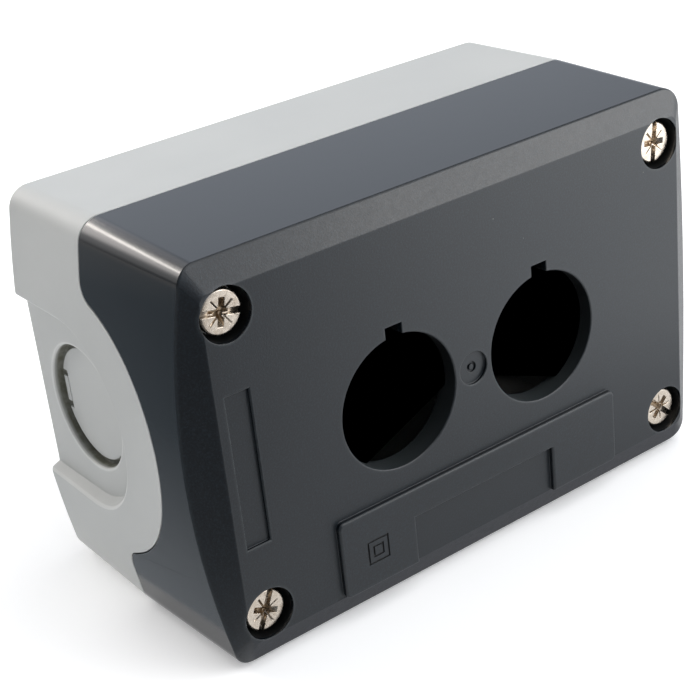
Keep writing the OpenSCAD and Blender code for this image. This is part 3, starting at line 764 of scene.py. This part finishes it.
def recess_cutters():
    """Cuts of a screw's head: a full slot, a tapered cross that widens at its heart, and four ticks."""
    arm, half, heart, mouth = 2.2, 0.5, 1.3, 1.2
    slot_reach, slot_floor, cross_floor, heart_floor = 5, 0.9, 1.7, 1.3
    over_slot, over_cross, cross_taper, heart_taper = -1, -0.7, 0.45, 0.7
    corner = [(half * mouth, half * mouth), (arm * mouth, half * mouth), (arm * mouth, -half * mouth)]
    cross = []
    for _ in range(4):
        cross += corner
        corner = [(z, -x) for x, z in corner]
    diamond = [(heart * mouth, 0), (0, heart * mouth), (-heart * mouth, 0), (0, -heart * mouth)]
    slot = [(-slot_reach, -half), (slot_reach, -half), (slot_reach, half), (-slot_reach, half)]
    cutters = [prism(slot, over_slot, slot_floor), prism(cross, over_cross, cross_floor, cross_taper),
               prism(diamond, over_cross, heart_floor, heart_taper)]
    start, end, deep, shallow = 0.5, 2.5, 1.1, 0.02
    for k, wide in enumerate((0.1, 0.17, 0.1, 0.17)):
        narrow = wide * 0.7
        points = [(start, -1, -wide), (start, -1, wide), (start, deep, narrow), (start, deep, -narrow),
                  (end, -1, -wide), (end, -1, wide), (end, shallow, wide), (end, shallow, -wide)]
        faces = [(0, 1, 2, 3), (7, 6, 5, 4), (0, 4, 5, 1), (1, 5, 6, 2), (2, 6, 7, 3), (3, 7, 4, 0)]
        tick = solid("tick", points, faces)
        tick.transform(Matrix.Rotation(math.radians(45 + 90 * k), 4, "Y"))
        cutters.append(tick)
    return cutters


def screw_mesh():
    """Combination screw. It is at the front face while its recess is rounded, because that goes by depth."""
    recess_depth, recess_radius = 1.8, HEAD_RADIUS - 0.05

    def width(x, depth, z, convex):
        return RECESS_ROUNDING if depth < recess_depth and math.hypot(x, z) < recess_radius else 0

    screw = cut(screw_blank(), *recess_cutters())
    screw.transform(Matrix.Translation((0, -BODY_DEPTH, 0)))
    screw = rounded(screw, width, sharp=25, segments=2)
    screw.transform(Matrix.Translation((0, BODY_DEPTH, 0)))
    return screw


def washer_mesh():
    """Flat washer with soft edges, a hair below the head that turns on it."""
    gap, edge = 0.01, 0.12
    third = edge / 3
    ring = [(WASHER_BORE + edge, gap), (WASHER_RADIUS - edge, gap),
            (WASHER_RADIUS - third, third), (WASHER_RADIUS, edge),
            (WASHER_RADIUS, WASHER_THICKNESS - edge), (WASHER_RADIUS - third, WASHER_THICKNESS - third),
            (WASHER_RADIUS - edge, WASHER_THICKNESS), (WASHER_BORE + edge, WASHER_THICKNESS),
            (WASHER_BORE, WASHER_THICKNESS - edge), (WASHER_BORE, edge)]
    return turned(ring, steps=64, closed=True)


def insert_mesh():
    """Brass insert: two knurled bands that slant opposite ways, a groove between them, a threaded bore."""
    lead, groove_slope = 0.25, 0.2
    teeth, tooth, tooth_slant, thread_height = 32, 0.16, 0.35, 0.24
    low, high = INSERT_LENGTH * 3 / 8, INSERT_LENGTH * 5 / 8
    waist, end = INSERT_RADIUS - INSERT_GROOVE, INSERT_LENGTH - lead
    band_rows, rings_a_turn = 6, 6
    profile = [(INSERT_RADIUS - lead, 0), (INSERT_RADIUS, lead)]
    profile += [(INSERT_RADIUS, lead + (low - lead) * k / band_rows) for k in range(1, band_rows + 1)]
    profile += [(waist, low + groove_slope), (waist, high - groove_slope)]
    profile += [(INSERT_RADIUS, high + (end - high) * k / band_rows) for k in range(band_rows + 1)]
    profile += [(INSERT_RADIUS - lead, INSERT_LENGTH), (INSERT_BORE + lead, INSERT_LENGTH)]
    thread_lead = 0.3
    threaded = INSERT_LENGTH - 2 * thread_lead
    rows = round(threaded / PITCH * rings_a_turn)
    profile += [(INSERT_BORE, INSERT_LENGTH - thread_lead - k * threaded / rows) for k in range(rows + 1)]
    profile.append((INSERT_BORE + lead, 0))

    def worked(radius, depth, angle):
        if radius == INSERT_RADIUS:
            slant = depth * tooth_slant * (1 if depth < INSERT_LENGTH / 2 else -1)
            return radius - tooth * (0.5 + 0.5 * math.cos(teeth * (angle + slant)))
        if radius == INSERT_BORE:
            return radius + thread_height * (1 - thread(depth, angle))
        return radius

    return turned(profile, steps=96, closed=True, relief=worked)


# Pieces

def stand_for(node, mesh, material, name):
    """Puts a detailed piece, in millimetres, where a CAD part is, and lets it move as that part does."""
    mesh.transform(Matrix.Scale(MM, 4))
    mesh.materials.clear()
    mesh.materials.append(material)
    piece = add_object(name, mesh)
    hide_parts(node)
    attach(piece, BODIES[node])


def make_mouldings():
    cover = cut(cad_mesh("front_cover"), *sign_cutters())
    stand_for("front_cover", rounded(cover, cover_width), cover_plastic(), "cover_shell")
    stand_for("rear_base", rounded(cad_mesh("rear_base"), base_width), base_plastic(), "base_shell")
    seal = rounded(cad_mesh("cover_gasket"), lambda *place: SEAL_ROUNDING, segments=3)
    stand_for("cover_gasket", seal, rubber(), "seal_cord")


def make_fasteners():
    nickel = metal("plated_screw", NICKEL_TONES, NICKEL_TARNISH_AND_SHADE)
    brass = metal("insert_brass", BRASS_TONES)
    kinds = (("cover_", "screw_", screw_mesh(), HEAD_SINK, nickel),
             ("screw_", "washer_", washer_mesh(), HEAD_SINK + HEAD_HEIGHT, nylon()),
             ("thread_", "insert_", insert_mesh(), INSERT_TOP, brass))
    for spot, (side, up, turn) in SCREWS.items():
        for kind, name, mesh, depth, material in kinds:
            copy = mesh.copy()
            copy.shade_smooth()
            place = Matrix.Translation((side * SCREW_X, depth - BODY_DEPTH, up * SCREW_Z))
            copy.transform(place @ Matrix.Rotation(math.radians(turn), 4, "Y"))
            stand_for(kind + name + spot, copy, material, name + spot)


make_camera()
make_studio()
for name, settings in SOFTBOXES.items():
    make_softbox(name, *settings)
make_floor()
for name, settings in CARDS.items():
    make_card(name, **settings)
make_mouldings()
make_fasteners()
